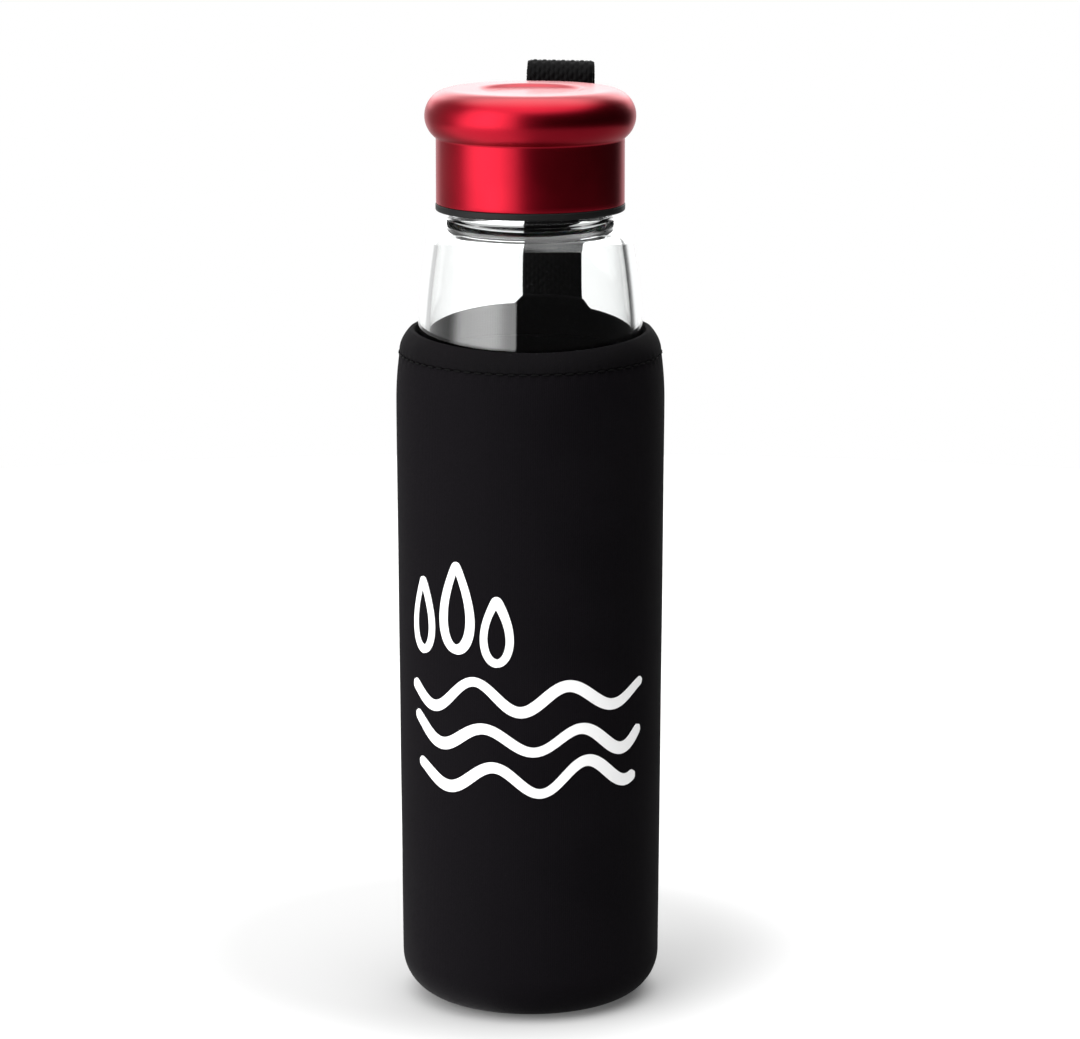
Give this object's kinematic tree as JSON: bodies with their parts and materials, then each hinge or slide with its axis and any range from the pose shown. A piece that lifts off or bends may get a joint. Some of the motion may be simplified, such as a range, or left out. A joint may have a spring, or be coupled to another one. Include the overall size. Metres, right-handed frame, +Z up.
{
  "type": "glass water bottle",
  "caption": "Clear glass water bottle with a red metal screw cap, a black fabric sleeve and an upright webbing carrying loop at the back.",
  "frame": {"origin": "on the bottle's axis, on the surface that the sleeve stands on", "axes": "+Z up along the bottle's axis; the webbing loop is on +Y; the printed side faces 13 degrees from -Y towards +X"},
  "size_m": [0.071, 0.0776, 0.2483],
  "materials": {
    "clear_glass": "clear soda-lime glass, fire polished",
    "red_anodised_aluminium": "deep red anodised, satin gloss",
    "black_plastic": "moulded polypropylene, satin",
    "silicone": "translucent white food silicone",
    "neoprene": "black neoprene faced with fine polyester jersey",
    "neoprene_base": "black neoprene faced with jersey",
    "neoprene_binding": "black neoprene turned over at the rim",
    "black_thread": "spun polyester sewing thread",
    "white_ink": "screen printed, slightly raised",
    "black_webbing": "woven nylon webbing"
  },
  "bodies": {
    "sleeve": {"sleeve_body": "neoprene", "sleeve_base": "neoprene_base", "sleeve_hem": "neoprene_binding", "hem_stitches": "black_thread", "base_seam": "black_thread", "back_seam": "black_thread", "sleeve_print": "white_ink", "strap_anchor": "black_webbing", "strap_stitches": "black_thread"},
    "strap": {"strap_loop": "black_webbing"},
    "bottle": {"glass_bottle": "clear_glass"},
    "seal": {"cap_gasket": "silicone"},
    "cap": {"cap_shell": "red_anodised_aluminium", "cap_insert": "black_plastic"}
  },
  "joints": [
    {"name": "bottle_slide", "type": "slide", "parent": "sleeve", "child": "bottle", "axis": [0, 0, 1], "range_m": [0, 0.19]},
    {"name": "strap_fold", "type": "hinge", "parent": "sleeve", "child": "strap", "pos_m": [0, 0.0358, 0.1846], "axis": [-1, 0, 0], "range_deg": [-3, 90], "stiffness_Nm_per_rad": 0.01},
    {"name": "cap_rise", "type": "slide", "parent": "bottle", "child": "seal", "axis": [0, 0, 1], "range_m": [0, 0.02401]},
    {"name": "cap_turn", "type": "hinge", "parent": "seal", "child": "cap", "pos_m": [0, 0, 0.2125], "axis": [0, 0, 1], "range_deg": [0, 1080]}
  ],
  "couplings": [
    {"joint": "cap_rise", "follows": "cap_turn", "m_per_rad": 0.0012732}
  ]
}
